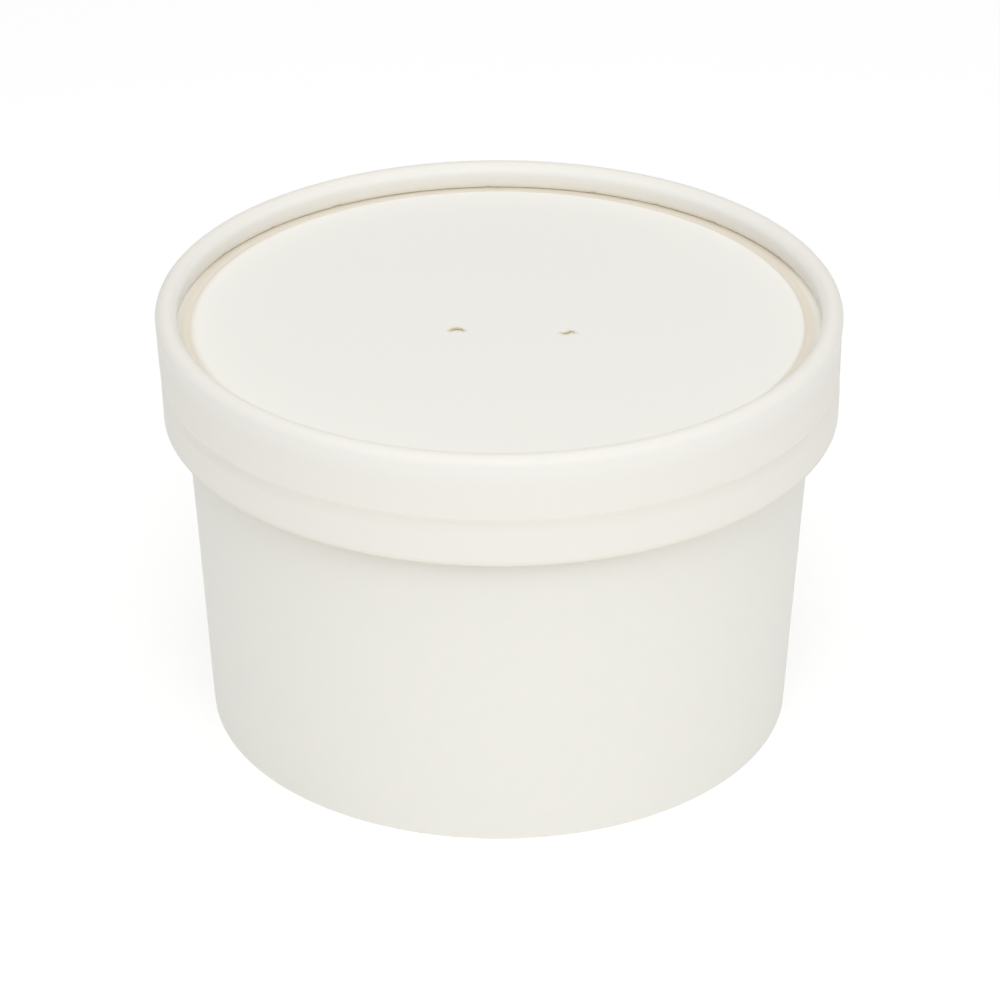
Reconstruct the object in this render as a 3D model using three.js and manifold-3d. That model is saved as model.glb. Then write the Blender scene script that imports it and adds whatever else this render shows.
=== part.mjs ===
import * as THREE from 'three';
import { mergeVertices } from 'three/addons/utils/BufferGeometryUtils.js';
import Module from 'manifold-3d';

// Paper soup tub with its lid pressed on, standing on its base hem.
// Millimetres, +Z up, origin at the centre of the ring it stands on.

const wasm = await Module();
wasm.setup();

// Whole pack
const LID_RADIUS = 58.7;
const TOTAL_HEIGHT = 76.84;

// Facets round the axis, and along the rounds and steps of an outline
const FACETS = 96;
const FOLD_STEPS = 3;
const ROUND_STEPS = 7;
const SHOULDER_STEPS = 5;
const CREASE_STEPS = 3;
const FACE_STEPS = 3;
const PANEL_STEPS = 4;

// Cup: a tapered wall folded inwards at the foot into a standing hem
const BASE_RADIUS = 50.86;
const WALL_TAPER = 0.0551;
const HEM_WIDTH = 1.35;
const HEM_FOLD_RADIUS = 0.3;
const BASE_RECESS_DEPTH = 6.5;
const CLOSED_RADIUS = 51.5;

// Curled rim of the cup, closed in under the lid
const CURL_RADIUS = 1.5;
const CURL_CENTRE_RADIUS = 56.15;
const CURL_TOP = 70.95;
const CURL_NECK = 1.2;
const CURL_SPAN = [-128, 122];

// Lid: curled bead over a straight skirt
const BEAD_CENTRE_RADIUS = 56.93;
const BEAD_OUTER_ROUND = 1.77;
const BEAD_INNER_CENTRE = 56.77;
const BEAD_INNER_ROUND = 1.77;
const SKIRT_LIP_HEIGHT = 57.3;
const SKIRT_RADIUS = 58.62;
const SKIRT_THICKNESS = 0.5;
const LIP_RADIUS = 58.6;
const LIP_BEVEL = 0.12;
const BEAD_FOOT_RADIUS = 55.72;
const BEAD_FOOT_Z = 72.4;
const BEAD_FOOT_BEVEL = 0.4;
const BEAD_FACE_BEND = 1.6;
const WALL_TOP_DROP = 2.2;

// Pressed line round the skirt, with the shoulder of the lower band under it
const CREASE_RADIUS = 58.06;
const SHOULDER_LOW = 62.2;
const SHOULDER_HIGH = 64.3;
const CREASE_TOP = 64.95;
const WALL_LOW = 65.8;

// Lid panel: a flat board disc sunk below the bead, its edge turned down
const PANEL_TOP = 73.0;
const PANEL_THICKNESS = 0.5;
const PANEL_FLAT_RADIUS = 51.7;
const PANEL_STEP_RADIUS = 53.0;
const PANEL_STEP_DROP = 0.45;
const PANEL_EDGE_RADIUS = 55.9;
const PANEL_EDGE_DROP = 0.95;

// Steam vents: two small curved cuts in the panel
const VENT_WIDTH = 0.4;
const VENT_LEFT = [-7.2, -5.1];
const VENT_RIGHT = [11.75, -5.5];
const VENT_LEFT_RADIUS = 1.25;
const VENT_LEFT_HALF_ANGLE = 72;
const VENT_RIGHT_WAVE = [[-1.2, -0.2], [-0.8, -0.3], [-0.1, 0.05], [0.6, 0.5], [1.2, -0.15]];
const VENT_STEPS = 10;
const VENT_OVERCUT = 0.5;

const CLEARANCE = 0.35;

// Outline point at radius r and height z
function at(r, z) {
  return new THREE.Vector2(r, z);
}

// Points along a round; angles in degrees, 0 pointing away from the axis, 90 up
function round(r, z, radius, from, to, steps) {
  const points = [];
  for (let i = 0; i <= steps; i += 1) {
    const angle = THREE.MathUtils.degToRad(from + ((to - from) * i) / steps);
    points.push(at(r + radius * Math.cos(angle), z + radius * Math.sin(angle)));
  }
  return points;
}

// Solid of revolution about Z from an outline of radius and height
function turned(outline) {
  const geometry = new THREE.LatheGeometry(outline, FACETS);
  geometry.rotateX(Math.PI / 2);
  return geometry;
}

// Smooth step between two radii, as a pressed sheet takes it
function pressedStep(fromRadius, fromZ, toRadius, toZ, steps) {
  const points = [];
  for (let i = 0; i <= steps; i += 1) {
    const share = i / steps;
    const ease = (1 - Math.cos(Math.PI * share)) / 2;
    const radius = THREE.MathUtils.lerp(fromRadius, toRadius, ease);
    points.push(at(radius, THREE.MathUtils.lerp(fromZ, toZ, share)));
  }
  return points;
}

// The same step lying down, between two heights
function dishedStep(fromRadius, fromZ, toRadius, toZ, steps) {
  return pressedStep(fromZ, fromRadius, toZ, toRadius, steps).map((point) => at(point.y, point.x));
}

// Inner face of the curl, upright at first and then leaning out towards its cut edge
function rolledUnder(fromRadius, fromZ, toRadius, toZ) {
  const points = [];
  for (let i = 1; i <= FACE_STEPS; i += 1) {
    const share = i / FACE_STEPS;
    const radius = THREE.MathUtils.lerp(fromRadius, toRadius, share ** BEAD_FACE_BEND);
    points.push(at(radius, THREE.MathUtils.lerp(fromZ, toZ, share)));
  }
  return points;
}

function wallRadius(z) {
  return BASE_RADIUS + WALL_TAPER * z;
}

// The shut pack can't be seen into, so the cup is solid from its base disc to just under the lid
function cupOutline() {
  const hemInner = BASE_RADIUS - HEM_WIDTH;
  const recessRadius = wallRadius(BASE_RECESS_DEPTH) - HEM_WIDTH;
  const fold = HEM_FOLD_RADIUS;
  const curlZ = CURL_TOP - CURL_RADIUS;
  const neckZ = curlZ - CURL_NECK;
  const under = PANEL_TOP - PANEL_THICKNESS - CLEARANCE;
  return [
    at(0, BASE_RECESS_DEPTH),
    at(recessRadius, BASE_RECESS_DEPTH),
    ...round(hemInner + fold, fold, fold, 180, 270, FOLD_STEPS),
    ...round(BASE_RADIUS - fold, fold, fold, 270, 360, FOLD_STEPS),
    at(wallRadius(neckZ), neckZ),
    ...round(CURL_CENTRE_RADIUS, curlZ, CURL_RADIUS, ...CURL_SPAN, ROUND_STEPS),
    at(CLOSED_RADIUS, under),
    at(0, under),
  ];
}

// Bead and skirt are one strip of board; the bead is shown filled, down to its inner cut edge
function bandOutline() {
  const inside = SKIRT_RADIUS - SKIRT_THICKNESS;
  const lipInside = LIP_RADIUS - SKIRT_THICKNESS;
  const creaseInside = CREASE_RADIUS - SKIRT_THICKNESS;
  const outerZ = TOTAL_HEIGHT - BEAD_OUTER_ROUND;
  const innerZ = TOTAL_HEIGHT - BEAD_INNER_ROUND;
  const outline = [
    at(lipInside, SKIRT_LIP_HEIGHT),
    at(LIP_RADIUS - LIP_BEVEL, SKIRT_LIP_HEIGHT),
    at(LIP_RADIUS, SKIRT_LIP_HEIGHT + LIP_BEVEL),
    ...pressedStep(SKIRT_RADIUS, SHOULDER_LOW, CREASE_RADIUS, SHOULDER_HIGH, SHOULDER_STEPS),
    ...pressedStep(CREASE_RADIUS, CREASE_TOP, SKIRT_RADIUS, WALL_LOW, CREASE_STEPS),
    at(BEAD_CENTRE_RADIUS + BEAD_OUTER_ROUND, outerZ - WALL_TOP_DROP),
    ...round(BEAD_CENTRE_RADIUS, outerZ, BEAD_OUTER_ROUND, 0, 90, ROUND_STEPS),
    ...round(BEAD_INNER_CENTRE, innerZ, BEAD_INNER_ROUND, 90, 180, ROUND_STEPS),
    ...rolledUnder(BEAD_INNER_CENTRE - BEAD_INNER_ROUND, innerZ, BEAD_FOOT_RADIUS, BEAD_FOOT_Z),
    at(inside - BEAD_FOOT_BEVEL, BEAD_FOOT_Z),
    at(inside, BEAD_FOOT_Z - BEAD_FOOT_BEVEL),
    at(creaseInside, CREASE_TOP),
    at(creaseInside, SHOULDER_HIGH),
  ];
  outline.push(outline[0].clone());
  return outline;
}

// Flat panel with a pressed step round it, its edge running down under the bead
function panelOutline() {
  const top = PANEL_TOP;
  const bottom = top - PANEL_THICKNESS;
  return [
    at(0, bottom),
    at(CLOSED_RADIUS, bottom),
    at(PANEL_EDGE_RADIUS, bottom - PANEL_EDGE_DROP),
    at(PANEL_EDGE_RADIUS, top - PANEL_EDGE_DROP),
    ...dishedStep(PANEL_STEP_RADIUS, top - PANEL_STEP_DROP, PANEL_FLAT_RADIUS, top, PANEL_STEPS),
    at(0, top),
  ];
}

// Half-moon cut, bowed towards the back
function leftVentLine() {
  const line = [];
  for (let i = 0; i <= VENT_STEPS; i += 1) {
    const turn = THREE.MathUtils.lerp(-1, 1, i / VENT_STEPS) * VENT_LEFT_HALF_ANGLE;
    const angle = THREE.MathUtils.degToRad(90 - turn);
    line.push(at(Math.cos(angle) * VENT_LEFT_RADIUS, Math.sin(angle) * VENT_LEFT_RADIUS));
  }
  return line;
}

// Flatter, wavy cut
function rightVentLine() {
  const wave = new THREE.SplineCurve(VENT_RIGHT_WAVE.map(([x, y]) => at(x, y)));
  return wave.getPoints(VENT_STEPS);
}

// Upright cutter as wide as the vent along a line in the panel
function ventCutter(line, place) {
  const left = [];
  const right = [];
  line.forEach((point, i) => {
    const before = line[Math.max(i - 1, 0)];
    const after = line[Math.min(i + 1, line.length - 1)];
    const side = after.clone().sub(before).normalize().multiplyScalar(VENT_WIDTH / 2);
    left.push(at(point.x - side.y, point.y + side.x));
    right.unshift(at(point.x + side.y, point.y - side.x));
  });
  const depth = PANEL_THICKNESS + 2 * VENT_OVERCUT;
  const shape = new THREE.Shape([...left, ...right]);
  const geometry = new THREE.ExtrudeGeometry(shape, { depth, bevelEnabled: false });
  geometry.translate(place[0], place[1], PANEL_TOP + VENT_OVERCUT - depth);
  return geometry;
}

function toSolid(geometry) {
  const bare = geometry.clone();
  bare.deleteAttribute('normal');
  bare.deleteAttribute('uv');
  const merged = mergeVertices(bare, 1e-4);
  const mesh = new wasm.Mesh({
    numProp: 3,
    vertProperties: new Float32Array(merged.attributes.position.array),
    triVerts: new Uint32Array(merged.index.array),
  });
  return new wasm.Manifold(mesh);
}

function toGeometry(solid) {
  const mesh = solid.getMesh();
  const geometry = new THREE.BufferGeometry();
  geometry.setAttribute('position', new THREE.BufferAttribute(mesh.vertProperties, 3));
  geometry.setIndex(new THREE.BufferAttribute(mesh.triVerts, 1));
  geometry.computeVertexNormals();
  return geometry;
}

function ventedPanel() {
  const panel = toSolid(turned(panelOutline()));
  const leftVent = toSolid(ventCutter(leftVentLine(), VENT_LEFT));
  const rightVent = toSolid(ventCutter(rightVentLine(), VENT_RIGHT));
  return toGeometry(panel.subtract(leftVent).subtract(rightVent));
}

function named(name, geometry, color, roughness) {
  const material = new THREE.MeshStandardMaterial({ color, roughness, metalness: 0 });
  const mesh = new THREE.Mesh(geometry, material);
  mesh.name = name;
  return mesh;
}

const tub = new THREE.Group();
tub.add(named('cup', turned(cupOutline()), '#f0eee4', 0.55));
tub.add(named('lid_band', turned(bandOutline()), '#f1eee5', 0.5));
tub.add(named('lid_disc', ventedPanel(), '#f0efea', 0.55));

export default tub;
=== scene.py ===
import math

import bpy
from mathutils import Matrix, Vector, noise
from mathutils.geometry import delaunay_2d_cdt


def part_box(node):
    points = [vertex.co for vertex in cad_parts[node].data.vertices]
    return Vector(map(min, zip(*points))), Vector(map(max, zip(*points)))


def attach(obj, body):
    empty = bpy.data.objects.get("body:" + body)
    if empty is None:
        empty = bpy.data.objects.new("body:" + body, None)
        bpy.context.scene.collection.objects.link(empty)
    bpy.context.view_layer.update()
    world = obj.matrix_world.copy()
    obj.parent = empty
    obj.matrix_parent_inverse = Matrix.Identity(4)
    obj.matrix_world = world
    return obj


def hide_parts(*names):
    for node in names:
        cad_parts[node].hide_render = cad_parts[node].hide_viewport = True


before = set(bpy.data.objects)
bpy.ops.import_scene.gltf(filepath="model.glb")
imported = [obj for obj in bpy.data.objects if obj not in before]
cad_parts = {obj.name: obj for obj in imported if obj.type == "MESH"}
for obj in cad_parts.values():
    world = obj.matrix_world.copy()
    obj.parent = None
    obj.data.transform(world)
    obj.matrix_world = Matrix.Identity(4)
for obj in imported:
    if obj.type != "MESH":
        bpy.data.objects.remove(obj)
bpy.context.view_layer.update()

# Lengths are in millimetres and angles in degrees until a mesh is written.
# Turn angles run round the tub from 0 at the front (-Y) over 90 on the right to 180 at the back.
mm = 0.001
bandLow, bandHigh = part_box("lid_band")
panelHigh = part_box("lid_disc")[1]
topZ = bandHigh.z / mm
lipZ = bandLow.z / mm
lidRadius = bandHigh.x / mm
panelZ = panelHigh.z / mm
print("frame: lid", round(2 * lidRadius, 2), "mm across,", round(topZ, 2), "mm high")


def clamp(value, low=0.0, high=1.0):
    return max(low, min(high, value))


def smooth(value, low, high):
    share = clamp((value - low) / (high - low))
    return share * share * (3 - 2 * share)


def roundPart(r, z, radius, start, end, steps):
    # a round stretch of an outline, 0 degrees away from the axis and 90 up
    points = []
    for i in range(steps + 1):
        angle = math.radians(start + (end - start) * i / steps)
        points.append((r + radius * math.cos(angle), z + radius * math.sin(angle)))
    return points


def pressedStep(r0, z0, r1, z1, steps):
    # an eased step between two radii, as pressed board takes it
    points = []
    for i in range(steps + 1):
        share = i / steps
        ease = (1 - math.cos(math.pi * share)) / 2
        points.append((r0 + (r1 - r0) * ease, z0 + (z1 - z0) * share))
    return points


def dishedStep(r0, z0, r1, z1, steps):
    # the same step lying down, between two heights
    return [(r, z) for z, r in pressedStep(z0, r0, z1, r1, steps)]


def straight(r0, z0, r1, z1, steps):
    return [(r0 + (r1 - r0) * i / steps, z0 + (z1 - z0) * i / steps) for i in range(steps + 1)]


def rolledUnder(r0, z0, r1, z1, bend, steps):
    # the curl's inner face, upright at first and then leaning out towards its cut edge
    points = []
    for i in range(steps + 1):
        share = i / steps
        points.append((r0 + (r1 - r0) * share ** bend, z0 + (z1 - z0) * share))
    return points


def turnAngles(segments, seamAngle, edgeGap):
    # even turns, with one narrow gap where the board's end makes its step
    angles = [360 * i / segments for i in range(segments)]
    return sorted(angles + [seamAngle - edgeGap, seamAngle + edgeGap])


def pointAt(angle, r, z):
    turn = math.radians(angle)
    return Vector((r * math.sin(turn), -r * math.cos(turn), z))


seedSteps = (7.3, 3.1, 1.7)     # how far apart two seeds read the noise


def ripple(angle, r, z, size, seed):
    # slow waviness of the board, -1 to 1, over the given size
    spot = pointAt(angle, r, z) / size
    return noise.noise(spot + Vector([seed * step for step in seedSteps]))


def makeMesh(name, verts, faces, shades, materials, faceMaterial=None):
    mesh = bpy.data.meshes.new(name)
    mesh.from_pydata([v * mm for v in verts], [], faces)
    for material in materials:
        mesh.materials.append(material)
    for i, face in enumerate(mesh.polygons):
        face.use_smooth = True
        if faceMaterial:
            face.material_index = faceMaterial[i]
    shade = mesh.attributes.new("shade", "FLOAT", "POINT")
    shade.data.foreach_set("value", shades)
    mesh.update()
    mesh.validate()
    piece = bpy.data.objects.new(name, mesh)
    bpy.context.scene.collection.objects.link(piece)
    return piece


def turnedVerts(outline, angles, placeAt, shadeAt):
    verts, shades = [], []
    for angle in angles:
        for r, z in outline:
            verts.append(placeAt(angle, r, z))
            shades.append(shadeAt(angle, r, z))
    return verts, shades


def ringFaces(count, turns, closed):
    # quads between neighbouring copies of an outline, facing away from the solid
    faces = []
    steps = count if closed else count - 1
    for j in range(turns):
        here = j * count
        there = ((j + 1) % turns) * count
        for i in range(steps):
            k = (i + 1) % count
            faces.append((here + i, there + i, there + k, here + k))
    return faces


# Node helpers

def toLinear(hexColour):
    channels = [int(hexColour[i:i + 2], 16) / 255 for i in (1, 3, 5)]
    linear = [c / 12.92 if c <= 0.04045 else ((c + 0.055) / 1.055) ** 2.4 for c in channels]
    return (*linear, 1.0)


def addNode(tree, kind, inputs=None, links=None, **settings):
    node = tree.nodes.new(kind)
    for key, value in settings.items():
        setattr(node, key, value)
    for key, value in (inputs or {}).items():
        node.inputs[key].default_value = value
    for key, source in (links or {}).items():
        tree.links.new(source[0].outputs[source[1]], node.inputs[key])
    return node


def startMaterial(name):
    material = bpy.data.materials.new(name)
    material.use_nodes = True
    material.node_tree.nodes.clear()
    return material, material.node_tree


# Coated cup board: bleached paperboard with a thin matt film, wound and pressed.
# It gives a warm white with faint clouding of the pulp, a fine felt grain and a satin gloss.
boardLook = {
    "colour": "#F9F7F1",
    "cloudColour": "#F8F7F0",
    # painted shade colour: crevices, creases, the foot's recess, under the lid's skirt, and the warm glow
    # round the vents
    "paintedShadeColour": "#E9E1CE",
    "paintedLightColour": "#FFFEFA",   # painted light, where light comes through the curl's single ply
    "cloudSize": 3.0,      # mm, pulp clouds
    "cloudEdges": (0.35, 0.68),  # where the noise counts as cloud
    "grainSize": 0.55,     # mm, felt grain; the real 0.1 mm fibres are too fine to show
    "grainHeight": 0.004,  # mm
    "waveSize": 9.0,       # mm, slow unevenness of the sheet
    "waveHeight": 0.01,
    "roughness": 0.52,
    "roughnessSpread": 0.07,
    "specular": 0.25,
    "shift": (0.11, 0.07, 0.05),  # m, between the places where two sheets read the noise
}


def coatedBoard(name, look, seed):
    material, tree = startMaterial(name)
    place = addNode(tree, "ShaderNodeTexCoord")
    moved = addNode(tree, "ShaderNodeMapping", {"Location": [seed * step for step in look["shift"]]},
                    {"Vector": (place, "Object")})
    clouds = addNode(tree, "ShaderNodeTexNoise", {"Scale": 1 / (look["cloudSize"] * mm), "Detail": 3.0},
                     {"Vector": (moved, 0)})
    grain = addNode(tree, "ShaderNodeTexNoise", {"Scale": 1 / (look["grainSize"] * mm), "Detail": 4.0,
                                                 "Roughness": 0.65}, {"Vector": (moved, 0)})
    waves = addNode(tree, "ShaderNodeTexNoise", {"Scale": 1 / (look["waveSize"] * mm), "Detail": 1.0},
                    {"Vector": (moved, 0)})
    cloudLow, cloudHigh = look["cloudEdges"]
    cloudMask = addNode(tree, "ShaderNodeMapRange", {"From Min": cloudLow, "From Max": cloudHigh},
                        {"Value": (clouds, "Fac")})
    base = addNode(tree, "ShaderNodeMix", data_type="RGBA")
    base.inputs[6].default_value = toLinear(look["colour"])
    base.inputs[7].default_value = toLinear(look["cloudColour"])
    tree.links.new(cloudMask.outputs[0], base.inputs[0])
    # painted light and shade from the mesh's shade attribute: above 0 it mixes in the painted shade
    # colour, below 0 the painted light colour
    shade = addNode(tree, "ShaderNodeAttribute", attribute_name="shade")
    paintedLightShare = addNode(tree, "ShaderNodeMath", {1: -1.0}, {0: (shade, "Fac")}, operation="MULTIPLY")
    paintedLight = addNode(tree, "ShaderNodeMix", {7: toLinear(look["paintedLightColour"])},
                   {0: (paintedLightShare, 0), 6: (base, 2)}, data_type="RGBA")
    shaded = addNode(tree, "ShaderNodeMix", {7: toLinear(look["paintedShadeColour"])},
                     {0: (shade, "Fac"), 6: (paintedLight, 2)}, data_type="RGBA")
    gloss = addNode(tree, "ShaderNodeMapRange", {
        "To Min": look["roughness"] - look["roughnessSpread"],
        "To Max": look["roughness"] + look["roughnessSpread"]}, {"Value": (grain, "Fac")})
    slow = addNode(tree, "ShaderNodeBump", {"Strength": 1.0, "Distance": look["waveHeight"] * mm},
                   {"Height": (waves, "Fac")})
    fine = addNode(tree, "ShaderNodeBump", {"Strength": 1.0, "Distance": look["grainHeight"] * mm},
                   {"Height": (grain, "Fac"), "Normal": (slow, 0)})
    shader = addNode(tree, "ShaderNodeBsdfPrincipled", {"Specular IOR Level": look["specular"]},
                     {"Base Color": (shaded, 2), "Roughness": (gloss, 0), "Normal": (fine, 0)})
    addNode(tree, "ShaderNodeOutputMaterial", links={"Surface": (shader, 0)})
    return material


# Raw board edge: the die-cut side of the same board, with no film over it.
# It shows the pulp's layers as a matt tan line with darker streaks along the sheet.
rawEdgeLook = {
    "colour": "#DCCEA8",
    "layerColour": "#C6B68A",
    "layerPitch": 0.12,  # mm between the board's layers
    "streakScale": 900,  # noise cells per metre along the sheet
    "fibreHeight": 0.02,  # mm
    "roughness": 0.85,
    "specular": 0.2,
}


def rawBoardEdge(look):
    material, tree = startMaterial("raw_board_edge")
    place = addNode(tree, "ShaderNodeTexCoord")
    layers = addNode(tree, "ShaderNodeTexNoise", {"Scale": 1.0, "Detail": 2.0})
    along, across = look["streakScale"], 1 / (look["layerPitch"] * mm)
    stretch = addNode(tree, "ShaderNodeMapping", {"Scale": (along, along, across)},
                      {"Vector": (place, "Object")})
    tree.links.new(stretch.outputs[0], layers.inputs["Vector"])
    colour = addNode(tree, "ShaderNodeMix", data_type="RGBA")
    colour.inputs[6].default_value = toLinear(look["layerColour"])
    colour.inputs[7].default_value = toLinear(look["colour"])
    tree.links.new(layers.outputs["Fac"], colour.inputs[0])
    rough = addNode(tree, "ShaderNodeBump", {"Strength": 0.6, "Distance": look["fibreHeight"] * mm},
                    {"Height": (layers, "Fac")})
    shader = addNode(tree, "ShaderNodeBsdfPrincipled", {"Roughness": look["roughness"],
                                                        "Specular IOR Level": look["specular"]},
                     {"Base Color": (colour, 2), "Normal": (rough, 0)})
    addNode(tree, "ShaderNodeOutputMaterial", links={"Surface": (shader, 0)})
    return material


# the cup's sheet is the same board painted a shade darker than the lid's, as painted shade, and the
# panel's painted shade colour is greyer
cupLook = {**boardLook, "colour": "#F6F4ED", "cloudColour": "#F5F4EC"}
panelLook = {**boardLook, "paintedShadeColour": "#E4DDD0"}
cupBoard = coatedBoard("coated_cup_board", cupLook, 1)
lidBoard = coatedBoard("coated_lid_board", boardLook, 2)
panelBoard = coatedBoard("coated_panel_board", panelLook, 3)
rawEdge = rawBoardEdge(rawEdgeLook)
print("materials ready")

# Cup: a tapered board wall folded in at the foot round the skirt of a raised base disc
cup = {
    "baseRadius": 50.86,
    "taper": 0.0551,
    "hemWidth": 1.35,
    "foldRadius": 0.3,
    "baseDiscZ": 6.5,
    "discInset": 1.5,       # the flat of the disc ends this far inside the hem
    "discDome": 0.35,       # it bows up a little in its middle
    "discGroove": 0.25,     # fold line where the disc turns down into the hem
    "discBend": 0.3,
    "discLift": 0.02,
    "discRings": (0.9, 0.75, 0.55, 0.35, 0.15, 0.04),  # shares of its radius
    "hemLean": 0.05,
    "hemStart": 0.5,        # above the fold
    "wallStart": 0.8,
    "curlRadius": 1.5,
    "curlCentre": 56.15,
    "curlTop": 70.95,
    "curlSpan": (-128, 122),  # degrees round the rim's curl
    "wallEnd": 1.2,         # the wall stops this far under the curl's centre
    "closedZ": 72.15,       # the shut pack is solid up to here
    "closedRadius": 51.5,
    "closedRings": (0.6, 0.2, 0.04),
    "seamAngle": 183.0,     # the wall's glued overlap, at the back
    "seamStep": 0.3,
    "seamWidth": 7.5,       # degrees covered by the overlap
    "seamGap": 0.04,
    "waviness": 0.07,
    "waveSize": 38.0,
    "outerPly": (-0.6, -0.2),  # from the wall's face, where its lift and waves begin
    "plyEnds": (66, 68),    # heights, out of sight under the skirt
    "waveStarts": (0, 12),  # heights, the foot stays round
    "recessShade": 0.25,     # share of the painted shade colour: painted shade inside the foot's recess
    "recessHeights": (4.6, 6.6),
    "recessDepth": 0.8,     # from the wall's face inwards
    "recessTop": 7,
    "underLipShadow": 0.35,        # painted shadow under the lid's skirt
    "lipReach": (-3.0, 1.0),   # heights from the skirt's lip
    "segments": 480,
}


def wallRadius(z):
    return cup["baseRadius"] + cup["taper"] * z


def seamLift(angle, seamAngle, width, step):
    # the overlap's outer ply stands proud at the seam and runs out slowly on the other side
    past = (angle - seamAngle) % 360
    if past > 180:
        return 0.0
    return step * (1 - smooth(past, 0, width))


def cupPlace(angle, r, z):
    outer = smooth(r - wallRadius(z), *cup["outerPly"]) * (1 - smooth(z, *cup["plyEnds"]))
    lift = seamLift(angle, cup["seamAngle"], cup["seamWidth"], cup["seamStep"])
    wave = cup["waviness"] * ripple(angle, r, z, cup["waveSize"], 1) * smooth(z, *cup["waveStarts"])
    return pointAt(angle, r + outer * (lift + wave), z)


# painted shade inside the foot's recess and under the lid's skirt
def cupShade(angle, r, z):
    recessed = r < wallRadius(z) - cup["recessDepth"] and z < cup["recessTop"]
    inRecess = 1 - smooth(z, *cup["recessHeights"]) if recessed else 0.0
    underLip = smooth(z, *(lipZ + reach for reach in cup["lipReach"]))
    return cup["recessShade"] * inRecess + cup["underLipShadow"] * underLip


def cupOutline():
    fold, bend, lean = cup["foldRadius"], cup["discBend"], cup["hemLean"]
    hemInner = cup["baseRadius"] - cup["hemWidth"]
    discZ = cup["baseDiscZ"]
    recess = wallRadius(discZ) - cup["hemWidth"]
    curlZ = cup["curlTop"] - cup["curlRadius"]
    wallTop = curlZ - cup["wallEnd"]
    wallFoot = cup["wallStart"]
    outline = [(recess - cup["discInset"], discZ + cup["discLift"])]
    outline += roundPart(recess - lean - bend, discZ + cup["discGroove"] - bend, bend, 90, 0, 5)
    outline += straight(recess - lean, discZ - 2 * bend, hemInner + lean, fold + cup["hemStart"], 8)
    outline += roundPart(hemInner + fold, fold, fold, 180, 270, 6)
    outline += roundPart(cup["baseRadius"] - fold, fold, fold, 270, 360, 6)
    outline += straight(wallRadius(wallFoot), wallFoot, wallRadius(wallTop), wallTop, 46)
    outline += roundPart(cup["curlCentre"], curlZ, cup["curlRadius"], *cup["curlSpan"], 14)
    outline += [(cup["closedRadius"], cup["closedZ"])]
    return outline


def cappedTurn(outline, angles, placeAt, shadeAt, lowRings, highRings):
    # a turned skin whose two open rims are filled by rings down to a pole on the axis
    verts, shades = turnedVerts(outline, angles, placeAt, shadeAt)
    count, turns = len(outline), len(angles)
    faces = ringFaces(count, turns, False)

    def fill(edgeIndex, rings, upward):
        edge = [j * count + edgeIndex for j in range(turns)]
        for r, z in rings:
            start = len(verts)
            for angle in angles:
                verts.append(pointAt(angle, r, z))
                shades.append(shadeAt(angle, r, z))
            ring = list(range(start, start + turns))
            for j in range(turns):
                k = (j + 1) % turns
                quad = (edge[j], edge[k], ring[k], ring[j])
                faces.append(quad if upward else quad[::-1])
            edge = ring
        pole = len(verts)
        verts.append(Vector((0, 0, rings[-1][1])))
        shades.append(shadeAt(0, 0, rings[-1][1]))
        for j in range(turns):
            k = (j + 1) % turns
            faces.append((edge[j], edge[k], pole) if upward else (edge[k], edge[j], pole))

    fill(0, lowRings, False)
    fill(count - 1, highRings, True)
    return verts, faces, shades


def buildCup():
    angles = turnAngles(cup["segments"], cup["seamAngle"], cup["seamGap"])
    discRadius = wallRadius(cup["baseDiscZ"]) - cup["hemWidth"] - cup["discInset"]
    low = []
    for share in cup["discRings"]:
        dome = cup["discDome"] * (1 - share * share)
        low.append((discRadius * share, cup["baseDiscZ"] + cup["discLift"] + dome))
    high = [(cup["closedRadius"] * share, cup["closedZ"]) for share in cup["closedRings"]]
    verts, faces, shades = cappedTurn(cupOutline(), angles, cupPlace, cupShade, low, high)
    piece = makeMesh("cup_wall", verts, faces, shades, [cupBoard])
    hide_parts("cup")
    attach(piece, "root")
    return piece


buildCup()
print("cup wall, hem and base disc built")

# Knurled hem: the heated tool that closes the foot leaves short leaning ribs inside it
knurl = {
    "count": 168,
    "ribLength": 4.2,
    "ribWidth": 0.55,
    "ribHeight": 0.16,
    "ribSink": 0.03,   # the ribs' edges lie this deep in the hem
    "ribBack": 0.12,   # and their closed backs this deep
    "ribEnds": 0.4,    # how bluntly the ribs end
    "hemHeight": 2.5,  # where the hem's radius is taken
    # painted shade on the ribs, as in the rest of the foot's recess
    "paintedShade": 0.15,
    "lowZ": 0.9,
    "lean": 9.0,       # degrees, the ribs lean round the ring
    "smallest": (0.86, 0.86, 0.9),  # how far the ribs differ in width, height and length
    "largest": (1.1, 1.15, 1.05),
    "seed": 4,
}


def ribMesh():
    # one low rounded rib along Z, rising out of the hem's face at Y = 0
    across, along = 6, 8
    verts, faces = [], []
    for i in range(along + 1):
        t = i / along
        swell = math.sin(math.pi * t) ** knurl["ribEnds"] if 0 < t < 1 else 0.0
        for j in range(across + 1):
            s = j / across
            height = knurl["ribHeight"] * math.sin(math.pi * s) * swell - knurl["ribSink"]
            verts.append(Vector(((s - 0.5) * knurl["ribWidth"], height, t * knurl["ribLength"])))
    row = across + 1
    for i in range(along):
        for j in range(across):
            a = i * row + j
            faces.append((a, a + row, a + row + 1, a + 1))
    back = len(verts)
    edge = list(range(row)) + [i * row + across for i in range(1, along + 1)]
    edge += [along * row + j for j in range(across - 1, -1, -1)]
    edge += [i * row for i in range(along - 1, 0, -1)]
    verts.append(Vector((0, -knurl["ribBack"], knurl["ribLength"] / 2)))
    for n in range(len(edge)):
        faces.append((edge[n], edge[(n + 1) % len(edge)], back))
    return makeMesh("knurl_rib", verts, faces, [knurl["paintedShade"]] * len(verts), [cupBoard])


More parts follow.
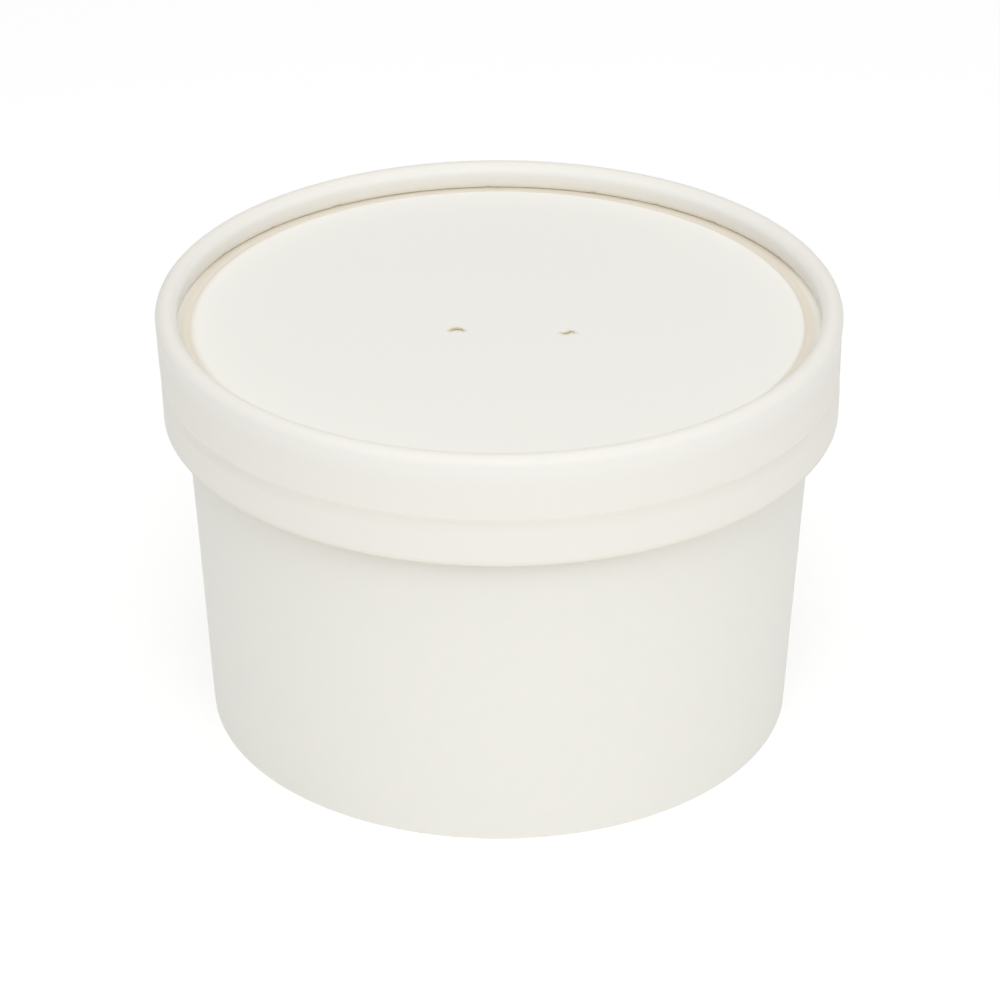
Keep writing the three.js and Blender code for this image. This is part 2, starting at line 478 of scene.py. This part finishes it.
def knurlTree(rib):
    tree = bpy.data.node_groups.new("hem knurl", "GeometryNodeTree")
    sockets = {}
    for name, kind in (("Ribs", "NodeSocketInt"), ("Ring Radius", "NodeSocketFloat"),
                       ("Foot Height", "NodeSocketFloat"), ("Lean", "NodeSocketFloat"),
                       ("Seed", "NodeSocketInt"), ("Board", "NodeSocketMaterial")):
        sockets[name] = tree.interface.new_socket(name, in_out="INPUT", socket_type=kind).identifier
    tree.interface.new_socket("Geometry", in_out="OUTPUT", socket_type="NodeSocketGeometry")
    given = addNode(tree, "NodeGroupInput")
    ring = addNode(tree, "GeometryNodeMeshCircle", links={"Vertices": (given, "Ribs"),
                                                          "Radius": (given, "Ring Radius")})
    spot = addNode(tree, "GeometryNodeInputPosition")
    parts = addNode(tree, "ShaderNodeSeparateXYZ", links={"Vector": (spot, 0)})
    turn = addNode(tree, "ShaderNodeMath", links={0: (parts, "Y"), 1: (parts, "X")}, operation="ARCTAN2")
    quarter = addNode(tree, "ShaderNodeMath", {1: math.pi / 2}, {0: (turn, 0)}, operation="ADD")
    jitter = addNode(tree, "FunctionNodeRandomValue",
                     {"Min": knurl["smallest"], "Max": knurl["largest"]},
                     {"Seed": (given, "Seed")}, data_type="FLOAT_VECTOR")
    facing = addNode(tree, "ShaderNodeCombineXYZ", links={"Z": (quarter, 0), "Y": (given, "Lean")})
    source = addNode(tree, "GeometryNodeObjectInfo", {"Object": rib}, transform_space="ORIGINAL")
    placed = addNode(tree, "GeometryNodeInstanceOnPoints", links={
        "Points": (ring, 0), "Instance": (source, "Geometry"),
        "Rotation": (facing, 0), "Scale": (jitter, 0)})
    height = addNode(tree, "ShaderNodeCombineXYZ", links={"Z": (given, "Foot Height")})
    raised = addNode(tree, "GeometryNodeTranslateInstances", {"Local Space": False},
                     {"Instances": (placed, 0), "Translation": (height, 0)})
    real = addNode(tree, "GeometryNodeRealizeInstances", links={"Geometry": (raised, 0)})
    painted = addNode(tree, "GeometryNodeSetMaterial", links={"Geometry": (real, 0),
                                                             "Material": (given, "Board")})
    addNode(tree, "NodeGroupOutput", links={"Geometry": (painted, 0)})
    return tree, sockets


def bakedMesh(holder, name):
    # the modifier's result as a plain mesh on a new object, and the helper gone
    graph = bpy.context.evaluated_depsgraph_get()
    mesh = bpy.data.meshes.new_from_object(holder.evaluated_get(graph))
    mesh.name = name
    piece = bpy.data.objects.new(name, mesh)
    bpy.context.scene.collection.objects.link(piece)
    bpy.data.objects.remove(holder)
    return piece


def buildKnurl():
    rib = ribMesh()
    tree, sockets = knurlTree(rib)
    holder = bpy.data.objects.new("hem_knurl_maker", bpy.data.meshes.new("hem_knurl_maker"))
    bpy.context.scene.collection.objects.link(holder)
    maker = holder.modifiers.new("hem knurl", "NODES")
    maker.node_group = tree
    hemFace = cup["baseRadius"] - cup["hemWidth"] + cup["taper"] * knurl["hemHeight"]
    values = {"Ribs": knurl["count"], "Ring Radius": hemFace * mm, "Foot Height": knurl["lowZ"] * mm,
              "Lean": math.radians(knurl["lean"]), "Seed": knurl["seed"], "Board": cupBoard}
    for name, value in values.items():
        maker[sockets[name]] = value
    piece = bakedMesh(holder, "hem_knurl")
    for face in piece.data.polygons:
        face.use_smooth = True
    bpy.data.objects.remove(rib)
    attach(piece, "root")
    return piece


buildKnurl()
print("knurled hem built")

# Lid band: one strip of board, curled into a bead on top and pressed in along a line lower down
band = {
    "beadCentre": 56.93,
    "outerRound": 1.77,
    "innerRound": 1.77,
    "innerCentre": 56.77,
    "foot": (55.45, 72.34),  # cut edge of the curl, a hair above the panel
    "footSettle": 0.11,     # and closer still at the sides
    "faceBend": 1.6,        # how late the curl's inner face leans out
    "faceLift": 0.08,       # and how far over its foot it ends
    # corners of the cut edge from the foot, and of the strip's inside from the skirt and the foot
    "cutEdge": [(0.03, 0.02), (0.09, 0), (0.34, 0), (0.4, -0.06), (0.42, -0.45)],
    "insideTurn": [(-0.4, -0.5), (-0.05, -0.85)],
    "insideTop": -1.5,
    "insideHeights": (66.2, 62.4),
    "insideCrease": (64.9, 64.3),
    "insideLip": 0.15,
    "skirtRadius": 58.6,
    "thickness": 0.5,
    "lipRadius": 58.56,
    "lipRound": 0.1,
    "lipBevel": (0.05, 0.12),
    "lipEase": 0.25,        # the eases keep a straight stretch clear of the bend next to it
    "shoulderEase": 0.3,
    "wallEase": 0.4,
    "beadEase": 0.9,
    "flare": 0.02,          # by which its straight stretches lean
    "boxInset": 0.02,       # the wavy skirt stays this far inside the CAD's box
    "shoulderLow": 62.5,
    "shoulderHigh": 64.35,
    "creaseTop": 64.75,
    "creaseRadius": 58.08,
    "wallLow": 65.95,
    "creaseHeights": (62, 66.5),
    "creaseFade": (48, 78),  # degrees from the front and back, the pressed line runs out at the sides
    "fadedCrease": 0.8,
    "leftPush": 0.55,       # the skirt sits a little to the right of the bead
    "rightPush": 0.08,
    "pushHeights": (58, 74),
    "outerRadii": (57.9, 58.1),  # the skirt's outside begins here
    "outerEnds": (72.5, 75),     # and ends at these heights
    "curlRadii": (55.9, 56.3),   # the curl's inner edge is inside these
    "curlEnds": (72.6, 76.0),    # and below these
    "footRise": (72.4, 73.4),
    "openSides": (0.12, 0.5),    # cosines of the turn angle, between which the gap opens
    "outwardShare": 0.6,         # of the overlap's step and of a tuck
    "seamAngle": 197.0,
    "seamStep": 0.22,
    "seamWidth": 6.0,
    "seamGap": 0.035,
    "waviness": 0.05,
    "waveSize": 24.0,
    "segments": 560,
}

# Share of the painted shade colour on each part of the band, and the heights or radii between which it
# changes; a share below 0 is painted light
bandPaintedShade = {
    "insideRadii": (56.6, 57.2),
    # painted shade in the gap under the curl's edge, more where the gap stands open
    "foot": 0.05,
    "openFoot": 0.3,
    "footHeights": (72.45, 73.0),
    "glowStarts": (72.6, 73.0),   # painted light on the curl's inner face, where light comes through its single ply
    "glowEnds": (75.4, 76.5),
    # painted shade on the crest, toning down its highlight
    "crest": 0.15,
    "crestHeights": (75.8, 76.6),
    # painted warm cast over the skirt, for warm light on it
    "skirt": 0.16,
    "skirtHeights": (71, 75),
    "skirtRadii": (57.5, 58),
    # painted shade in the pressed crease
    "crease": 0.14,
    "creaseStarts": (64.2, 64.9),
    "creaseEnds": (65.3, 66.2),
    # darker along the skirt's bottom edge
    "lip": 0.5,
    "lipReach": (0.05, 0.5),      # heights from the skirt's lip
}

# Tucks in the curl's inner edge, degrees round the lid; the back ones are where the photograph has them
pleat = {
    "back": [116.7, 135.9, 149.0, 161.9, 181.75, 211.6, 226.7],
    "others": 13,
    "start": 243.0,
    "step": 17.5,
    "jitter": 5.0,
    "depth": 0.2,
    "width": 0.42,
    "runOut": 3,            # widths over which a tuck fades on its far side
    "strength": (0.75, 0.5),     # mean and spread
    "placeDraw": (1.9, 4.2, 0.7),  # where the noise is read for a tuck's place
    "strengthDraw": (3.7, 1.1, 0.2),
}


def pleatDraw(i, spot):
    # the same draw each run, -1 to 1, for the tuck with this number
    return noise.noise(Vector((i * spot[0], spot[1], spot[2])))


def pleatAngles():
    angles = list(pleat["back"])
    for i in range(pleat["others"]):
        wander = pleat["jitter"] * pleatDraw(i, pleat["placeDraw"])
        angles.append((pleat["start"] + i * pleat["step"] + wander) % 360)
    return sorted(angles)


foldAngles = pleatAngles()


def pleatDepth(angle, r):
    # a sharp-sided tuck at each pleat, deep on one side and running out on the other
    depth = 0.0
    for i, fold in enumerate(foldAngles):
        past = (angle - fold + 180) % 360 - 180
        along = math.radians(past) * r / pleat["width"]
        if -1 < along < pleat["runOut"]:
            mean, spread = pleat["strength"]
            strength = mean + spread * pleatDraw(i, pleat["strengthDraw"])
            side = smooth(along, -1, 0) if along < 0 else 1 - smooth(along, 0, pleat["runOut"])
            depth += pleat["depth"] * strength * side
    return depth


def gapOpen(angle):
    # the curl's edge stands clear of the panel at the front and back, and lies close at the sides
    return smooth(abs(math.cos(math.radians(angle))), *band["openSides"])


def bandPlace(angle, r, z):
    wave = band["waviness"] * ripple(angle, r, z, band["waveSize"], 2)
    onSkirt = 1 - smooth(z, *band["pushHeights"])
    side = math.sin(math.radians(angle))
    push = band["leftPush"] * clamp(-side) ** 2 * onSkirt - band["rightPush"] * clamp(side) ** 2 * onSkirt
    fade = band["fadedCrease"] * smooth(math.degrees(math.asin(abs(side))), *band["creaseFade"])
    creaseLow, creaseHigh = band["creaseHeights"]
    if creaseLow < z < creaseHigh and r > band["outerRadii"][0]:
        r += fade * (band["skirtRadius"] - r)
    lift = seamLift(angle, band["seamAngle"], band["seamWidth"], band["seamStep"])
    outside = smooth(r, *band["outerRadii"]) * (1 - smooth(z, *band["outerEnds"]))
    room = lidRadius - band["boxInset"] - r
    shift = min(wave - push, room) if outside else -push
    inside = (1 - smooth(r, *band["curlRadii"])) * (1 - smooth(z, *band["curlEnds"]))
    tuck = pleatDepth(angle, r) * inside if inside > 0 else 0.0
    raised = (lift - band["seamStep"]) * outside
    settle = band["footSettle"] * (1 - gapOpen(angle)) if r < band["curlRadii"][0] else 0.0
    rise = (tuck - settle) * (1 - smooth(z, *band["footRise"]))
    outward = raised * band["outwardShare"] + tuck * band["outwardShare"]
    return pointAt(angle, r + shift + outward, z + rise)


# painted shade on the band, and painted light where the share falls below 0
def bandShade(angle, r, z):
    t = bandPaintedShade
    inside = 1 - smooth(r, *t["insideRadii"])
    foot = t["foot"] + t["openFoot"] * gapOpen(angle)
    foot = foot * (1 - smooth(z, *t["footHeights"])) * inside
    plyGlow = smooth(z, *t["glowStarts"]) * (1 - smooth(z, *t["glowEnds"])) * inside
    crest = t["crest"] * smooth(z, *t["crestHeights"])
    skirt = t["skirt"] * (1 - smooth(z, *t["skirtHeights"])) * smooth(r, *t["skirtRadii"])
    crease = t["crease"] * smooth(z, *t["creaseStarts"]) * (1 - smooth(z, *t["creaseEnds"]))
    lip = t["lip"] * (1 - smooth(z, *(lipZ + reach for reach in t["lipReach"])))
    return clamp(foot + crest + skirt + crease + lip - plyGlow, -1, 1)


def bandOutline():
    b = band
    inner = b["skirtRadius"] - b["thickness"]
    outerZ = topZ - b["outerRound"]
    innerZ = topZ - b["innerRound"]
    footRadius, footZ = b["foot"]
    lipIn, lipOut = b["lipRadius"] - b["thickness"], b["lipRadius"] - b["lipRound"]
    bevel, longBevel = b["lipBevel"]
    shoulder = b["skirtRadius"] + b["flare"]
    outline = [(lipIn + bevel, lipZ)]
    outline += straight(lipIn + longBevel, lipZ, lipOut - bevel, lipZ, 2)
    outline += roundPart(lipOut, lipZ + b["lipRound"], b["lipRound"], 270, 360, 4)
    outline += straight(b["lipRadius"] + b["flare"] / 2, lipZ + b["lipEase"],
                        shoulder, b["shoulderLow"] - b["shoulderEase"], 8)
    outline += pressedStep(shoulder, b["shoulderLow"], b["creaseRadius"], b["shoulderHigh"], 12)
    outline += pressedStep(b["creaseRadius"], b["creaseTop"], b["skirtRadius"], b["wallLow"], 8)
    outline += straight(b["skirtRadius"], b["wallLow"] + b["wallEase"],
                        lidRadius - 2 * b["flare"], outerZ - b["beadEase"], 12)
    outline += roundPart(b["beadCentre"], outerZ, lidRadius - b["beadCentre"], 0, 90, 14)
    outline += roundPart(b["innerCentre"], innerZ, b["innerRound"], 90, 180, 12)
    outline += rolledUnder(b["innerCentre"] - b["innerRound"], innerZ,
                           footRadius, footZ + b["faceLift"], b["faceBend"], 10)[1:]
    outline += [(footRadius + r, footZ + z) for r, z in b["cutEdge"]]
    outline += [(inner + r, footZ + z) for r, z in b["insideTurn"]]
    above, below = b["insideHeights"]
    outline += straight(inner, footZ + b["insideTop"], inner - b["flare"], above, 4)
    outline += [(b["creaseRadius"] - b["thickness"], z) for z in b["insideCrease"]]
    outline += straight(inner - b["flare"], below, lipIn, lipZ + b["insideLip"], 4)
    return outline


def buildBand():
    angles = turnAngles(band["segments"], band["seamAngle"], band["seamGap"])
    outline = bandOutline()
    verts, shades = turnedVerts(outline, angles, bandPlace, bandShade)
    faces = ringFaces(len(outline), len(angles), True)
    lipFaces = {0, 1, 2, 3}     # the strip's cut edge, at the bottom of the skirt
    faceMaterial = [1 if i % len(outline) in lipFaces else 0 for i in range(len(faces))]
    piece = makeMesh("lid_bead_and_skirt", verts, faces, shades, [lidBoard, rawEdge], faceMaterial)
    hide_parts("lid_band")
    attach(piece, "root")
    return piece


buildBand()
print("lid bead and skirt built")

# Lid panel: a flat board disc, pressed down round its edge, with two small curved vents cut in it
panel = {
    "thickness": 0.5,
    "flatRadius": 51.7,
    "stepRadius": 53.0,
    "stepDrop": 0.45,
    "lowRadius": 55.2,
    "lowDrop": 0.76,
    "edgeRadius": 56.08,    # here the board runs in under the curl
    "edgeDrop": 0.8,
    "flatEnds": (0.1, 0.2, 0.3),  # rings just outside the flat
    "stepEnd": (0.3, -0.05),      # the slope behind the step begins this far from it
    "lowEnd": 0.1,
    "edgeEnd": (-0.6, -0.3),      # the cut edge, inwards and down
    "sink": 0.03,           # room for the waviness under the CAD's top face
    "offset": -0.25,        # the flat is pressed a little to the left of the bead
    "offsetBlend": 1.0,
    "paintedShadeStarts": (-0.1, 1.2),   # from the flat's radius, where the painted shade over the groove sets in
    "grooveFades": (53.9, 55.0),   # radii, where it runs out again at the sides
    "paintedShadeLoss": 0.9,
    "segments": 480,
    "gridStep": 2.4,
    "gridEnd": 0.6,         # steps left free before the flat's rim
    "waviness": 0.06,
    "waveSize": 30.0,
    "waveSlice": 3.0,       # height at which the noise is read
    "waveEnds": (40, 51),   # radii between which the waves run out
}
# each vent also carries how strongly a warm glow is painted round its cut, as painted light
vents = {
    "left": {"place": (-7.2, -5.1), "width": 0.3, "push": 0.26, "lip": 0.06, "span": 1.25,
             "paintedGlow": 1.0, "depth": 0.13},
    "right": {"place": (11.75, -5.5), "width": 0.22, "push": 0.2, "lip": 0.05, "span": 1.2,
              "paintedGlow": 0.8, "depth": 0.1},
}

# What both vents share: their lines, and how far from a line each change reaches
ventShape = {
    "bowRadius": 1.25,
    "bowAngle": 72,         # degrees on either side of the middle
    "bowSteps": 24,
    "waveKnots": [(-1.2, -0.2), (-0.8, -0.3), (-0.1, 0.05), (0.6, 0.5), (1.2, -0.15)],
    "waveSteps": 6,
    "reach": (2.4, 3.2),    # a vent changes nothing further off than this
    "pushReach": (0.05, 1.5),
    "lipReach": (0.1, 0.9),
    # how far the painted glow reaches from a cut
    "paintedGlowReach": (0.1, 0.8),
    "ends": 0.5,            # how bluntly the cut ends
    "undercut": 0.02,       # keeps the cut's two walls apart at the bottom
    "clear": 0.06,          # no mesh point lies closer to the cut
    "rings": 21,            # of finer mesh round each vent
    "ringStep": 0.2,
    "pointStep": 0.22,
    "fineRadius": 4.2,      # the wider grid stays out of it
}


def leftVentLine():
    # half-moon cut, bowed towards the back
    radius, half, steps = ventShape["bowRadius"], ventShape["bowAngle"], ventShape["bowSteps"]
    line = []
    for i in range(steps + 1):
        angle = math.radians(90 + half - 2 * half * i / steps)
        line.append(Vector((radius * math.cos(angle), radius * math.sin(angle))))
    return line


def rightVentLine():
    # flatter, wavy cut: a smooth curve through its knots
    knots = [Vector(k) for k in ventShape["waveKnots"]]
    padded = [2 * knots[0] - knots[1]] + knots + [2 * knots[-1] - knots[-2]]
    steps, last = ventShape["waveSteps"], len(knots) - 2
    line = []
    for n in range(last + 1):
        a, b, c, d = padded[n:n + 4]
        for i in range(steps if n < last else steps + 1):
            t = i / steps
            line.append(0.5 * (2 * b + (c - a) * t + (2 * a - 5 * b + 4 * c - d) * t * t
                               + (3 * b - a - 3 * c + d) * t ** 3))
    return line


ventLines = {"left": leftVentLine(), "right": rightVentLine()}


def slitLoop(name):
    # outline of the open cut: it narrows to a point at both ends
    line, vent = ventLines[name], vents[name]
    back, front = [], []
    for i, point in enumerate(line):
        ahead = line[min(i + 1, len(line) - 1)] - line[max(i - 1, 0)]
        side = Vector((-ahead.y, ahead.x)).normalized()
        half = vent["width"] / 2 * math.sin(math.pi * i / (len(line) - 1)) ** ventShape["ends"]
        if i in (0, len(line) - 1):
            back.append(point)
        else:
            back.append(point + side * half)
            front.insert(0, point - side * half)
    place = Vector(vent["place"])
    return [p + place for p in back + front]


def inLoop(point, loop):
    inside = False
    for i, a in enumerate(loop):
        b = loop[i - 1]
        if (a.y > point.y) != (b.y > point.y):
            if point.x < (b.x - a.x) * (point.y - a.y) / (b.y - a.y) + a.x:
                inside = not inside
    return inside


def ventRelief(x, y):
    # the tongue in front of a cut is pushed down, and the edge behind it stands up a little
    rise = 0.0
    acrossReach, deepReach = ventShape["reach"]
    for name, vent in vents.items():
        u, v = x - vent["place"][0], y - vent["place"][1]
        if abs(u) > acrossReach or abs(v) > deepReach:
            continue
        line = ventLines[name]
        near = min(line, key=lambda p: abs(p.x - u))
        reach = clamp(1 - (abs(u) / vent["span"]) ** 2)
        if v < near.y:
            rise -= vent["push"] * reach * (1 - smooth(near.y - v, *ventShape["pushReach"]))
        else:
            rise += vent["lip"] * reach * (1 - smooth(v - near.y, *ventShape["lipReach"]))
    return rise


def ventShade(x, y):
    # painted light: a faint warm glow round each cut, for light coming through it
    shade = 0.0
    for name, vent in vents.items():
        u, v = x - vent["place"][0], y - vent["place"][1]
        if max(abs(u), abs(v)) < ventShape["reach"][0]:
            gap = min((p - Vector((u, v))).length for p in ventLines[name])
            shade = max(shade, vent["paintedGlow"] * (1 - smooth(gap, *ventShape["paintedGlowReach"])))
    return shade


def panelHeight(x, y):
    reach = 1 - smooth(math.hypot(x, y), *panel["waveEnds"])
    spot = Vector((x, y, panel["waveSlice"])) / panel["waveSize"]
    wave = panel["waviness"] * noise.noise(spot) * reach
    return panelZ - panel["sink"] + wave + ventRelief(x, y)


def ringPoints(radius, step, least, ring):
    # every other ring is turned by half a step
    count = max(least, round(2 * math.pi * radius / step))
    angles = [2 * math.pi * (i + 0.5 * (ring % 2)) / count for i in range(count)]
    return [Vector((radius * math.cos(angle), radius * math.sin(angle))) for angle in angles]


def panelPoints():
    # rings of points over the flat, closer together round the vents
    points = []
    step, v = panel["gridStep"], ventShape
    r = step
    while r < panel["flatRadius"] - panel["gridEnd"] * step:
        points += ringPoints(r, step, 6, round(r / step))
        r += step
    centres = [Vector(vent["place"]) for vent in vents.values()]
    points = [p for p in points if min((p - c).length for c in centres) > v["fineRadius"]]
    for centre in centres:
        for ring in range(1, v["rings"] + 1):
            points += [centre + p for p in ringPoints(v["ringStep"] * ring, v["pointStep"], 8, ring)]
    return points


def buildPanel():
    p = panel
    turns = p["segments"]
    angles = [360 * i / turns for i in range(turns)]
    rim = [pointAt(a, p["flatRadius"], 0).to_2d() for a in angles]
    loops = [slitLoop("left"), slitLoop("right")]
    free = [q for q in panelPoints() if not any(inLoop(q, loop) for loop in loops)
            and min((q - s).length for loop in loops for s in loop) > ventShape["clear"]]
    coords = rim + loops[0] + loops[1] + free
    edges, start = [], 0
    for loop in (rim, *loops):
        edges += [(start + i, start + (i + 1) % len(loop)) for i in range(len(loop))]
        start += len(loop)
    # output type 1 keeps the triangles inside the closed lines
    flat, _, triangles, origin, _, _ = delaunay_2d_cdt(coords, edges, [], 1, 1e-6)
    kept = []
    for tri in triangles:
        middle = sum((flat[i] for i in tri), Vector((0, 0))) / len(tri)
        if not any(inLoop(middle, loop) for loop in loops):
            kept.append(list(tri))
    index = {}
    for i, sources in enumerate(origin):
        for s in sources:
            index[s] = i
    top = [Vector((q.x, q.y, panelHeight(q.x, q.y))) for q in flat]
    low = [Vector((q.x, q.y, panelZ - p["thickness"] + ventRelief(q.x, q.y))) for q in flat]
    count = len(flat)
    verts = top + low
    shades = [ventShade(q.x, q.y) for q in flat] + [0.0] * count
    faces = [tuple(t) for t in kept] + [tuple(i + count for i in reversed(t)) for t in kept]
    faceMaterial = [0] * len(faces)
    start = turns
    for loop, name in zip(loops, ("left", "right")):
        ring = [index[start + i] for i in range(len(loop))]
        # the loop runs out along the back edge and home along the front;
        # the cut closes to a line a little way down, under its front edge
        half = (len(loop) - 2) // 2 + 1
        for i, a in enumerate(ring):
            twin = ring[-i] if 0 < i < half else a
            front = verts[twin]
            aside = ventShape["undercut"] if a != twin else 0.0
            verts[a + count] = front + Vector((0, aside, -vents[name]["depth"]))
        for i, a in enumerate(ring):
            b = ring[(i + 1) % len(ring)]
            faces.append((b, a, a + count, b + count))
            faceMaterial.append(1)
        start += len(loop)
    rimTop = [index[i] for i in range(turns)]
    previous = rimTop
    for r, z in edgeOutline():
        ring = list(range(len(verts), len(verts) + turns))
        for angle in angles:
            verts.append(edgePlace(angle, r, z))
            shades.append(edgeShade(angle, r, z))
        for j in range(turns):
            k = (j + 1) % turns
            faces.append((previous[k], previous[j], ring[j], ring[k]))
            faceMaterial.append(0)
        previous = ring
    for j in range(turns):
        k = (j + 1) % turns
        faces.append((previous[k], previous[j], rimTop[j] + count, rimTop[k] + count))
        faceMaterial.append(0)
    piece = makeMesh("lid_panel", verts, faces, shades, [panelBoard, rawEdge], faceMaterial)
    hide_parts("lid_disc")
    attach(piece, "root")
    return piece


def edgeOutline():
    # from the flat over its pressed edge to the foot of the bead, and back underneath
    p = panel
    top = panelZ - p["sink"]
    under = panelZ - p["thickness"]
    stepZ = top - p["stepDrop"]
    lowZ = top - p["lowDrop"]
    edgeZ = top - p["edgeDrop"]
    first, second, bend = (p["flatRadius"] + end for end in p["flatEnds"])
    stepOut, stepDown = p["stepEnd"]
    edgeIn, edgeDown = p["edgeEnd"]
    outline = straight(first, top, second, top, 1)
    outline += dishedStep(bend, top, p["stepRadius"], stepZ, 8)[1:]
    outline += straight(p["stepRadius"] + stepOut, stepZ + stepDown, p["lowRadius"], lowZ, 6)
    outline += dishedStep(p["lowRadius"] + p["lowEnd"], lowZ, p["edgeRadius"], edgeZ, 5)[1:]
    outline += [(p["edgeRadius"], edgeZ + edgeDown), (p["edgeRadius"] + edgeIn, under - p["lowDrop"])]
    outline += [(p["stepRadius"], under - p["stepDrop"])]
    return outline


def edgePlace(angle, r, z):
    # the press line runs a little off centre, and the edge itself stays round
    p, blend = panel, panel["offsetBlend"]
    aside = p["offset"] * smooth(r, p["flatRadius"], p["flatRadius"] + blend)
    aside *= 1 - smooth(r, p["stepRadius"] + blend, p["edgeRadius"])
    place = pointAt(angle, r, z)
    place.x += aside
    return place


# painted shade over the pressed groove round the panel, mostly taken off near the curl at the sides
def edgeShade(angle, r, z):
    paintedShade = smooth(r, *(panel["flatRadius"] + reach for reach in panel["paintedShadeStarts"]))
    closed = (1 - gapOpen(angle)) * smooth(r, *panel["grooveFades"])
    return paintedShade * (1 - panel["paintedShadeLoss"] * closed)


buildPanel()
print("lid panel and vents built")

# Plain white floor and soft studio light
studio = {
    "floorColour": "#C4C4C4",
    "floorSize": 16000,     # mm
    "floorGlow": 0.56,      # keeps the floor as white as the photograph's
    "floorMottle": 6.0,     # noise cells per metre
    "floorRoughness": (0.75, 0.85),
    "floorSpecular": 0.1,
    "skyStrength": 0.3,
    "exposure": 0.0,
    "lampAim": (0, 0, 0.05),  # metres
    "bounces": 16,          # white board lights itself many times over
}

# Softboxes: place and size in metres, power in watts
softboxes = {
    "key": {"place": (0.0, -0.9, 0.95), "size": (0.9, 0.6), "power": 4.7},
    "top": {"place": (0.0, 0.0, 1.3), "size": (1.2, 1.2), "power": 8.0},
    "side": {"place": (0.8, -0.9, 0.6), "size": (0.6, 0.6), "power": 1.0},
}


def buildFloor():
    material, tree = startMaterial("white_floor")
    place = addNode(tree, "ShaderNodeTexCoord")
    mottle = addNode(tree, "ShaderNodeTexNoise", {"Scale": studio["floorMottle"], "Detail": 2.0},
                     {"Vector": (place, "Object")})
    least, most = studio["floorRoughness"]
    rough = addNode(tree, "ShaderNodeMapRange", {"To Min": least, "To Max": most},
                    {"Value": (mottle, "Fac")})
    shader = addNode(tree, "ShaderNodeBsdfPrincipled", {
        "Base Color": toLinear(studio["floorColour"]), "Specular IOR Level": studio["floorSpecular"],
        "Emission Color": (1, 1, 1, 1), "Emission Strength": studio["floorGlow"]},
        {"Roughness": (rough, 0)})
    addNode(tree, "ShaderNodeOutputMaterial", links={"Surface": (shader, 0)})
    half = studio["floorSize"] / 2
    corners = [Vector((x * half, y * half, 0)) for x, y in ((-1, -1), (1, -1), (1, 1), (-1, 1))]
    floor = makeMesh("floor", corners, [(0, 1, 2, 3)], [0.0] * 4, [material])


def areaLight(name, place, size, power):
    light = bpy.data.lights.new(name, "AREA")
    light.shape = "RECTANGLE"
    light.size, light.size_y = size
    light.energy = power
    lamp = bpy.data.objects.new(name, light)
    bpy.context.scene.collection.objects.link(lamp)
    lamp.location = place
    aim = Vector(studio["lampAim"]) - Vector(place)
    lamp.rotation_euler = aim.to_track_quat("-Z", "Y").to_euler()


def buildLights():
    world = bpy.data.worlds.new("studio")
    bpy.context.scene.world = world
    world.use_nodes = True
    sky = world.node_tree.nodes["Background"]
    sky.inputs["Color"].default_value = (1, 1, 1, 1)
    sky.inputs["Strength"].default_value = studio["skyStrength"]
    for name, box in softboxes.items():
        areaLight(name, box["place"], box["size"], box["power"])


# The camera was fitted to the outline of the tub in the photograph
view = {
    "elevation": 28.707,
    "distance": 740.85,     # mm from the aim point
    "aim": (0.14, 0.0, 37.507),
    "lens": 152.287,
    "sensor": 36.0,
    "clipStart": 10,
}


def buildCamera():
    data = bpy.data.cameras.new("photo_view")
    camera = bpy.data.objects.new("photo_view", data)
    bpy.context.scene.collection.objects.link(camera)
    data.lens = view["lens"]
    data.sensor_width = view["sensor"]
    data.clip_start = view["clipStart"] * mm
    tilt = math.radians(view["elevation"])
    away = Vector((0, -math.cos(tilt), math.sin(tilt))) * view["distance"]
    camera.location = (Vector(view["aim"]) + away) * mm
    camera.rotation_euler = (math.pi / 2 - tilt, 0, 0)
    bpy.context.scene.camera = camera


buildFloor()
buildLights()
buildCamera()
scene = bpy.context.scene
scene.view_settings.view_transform = "Standard"
scene.view_settings.look = "None"
scene.view_settings.exposure = studio["exposure"]
scene.cycles.max_bounces = studio["bounces"]
scene.cycles.diffuse_bounces = studio["bounces"]
print("floor, lights and camera ready")
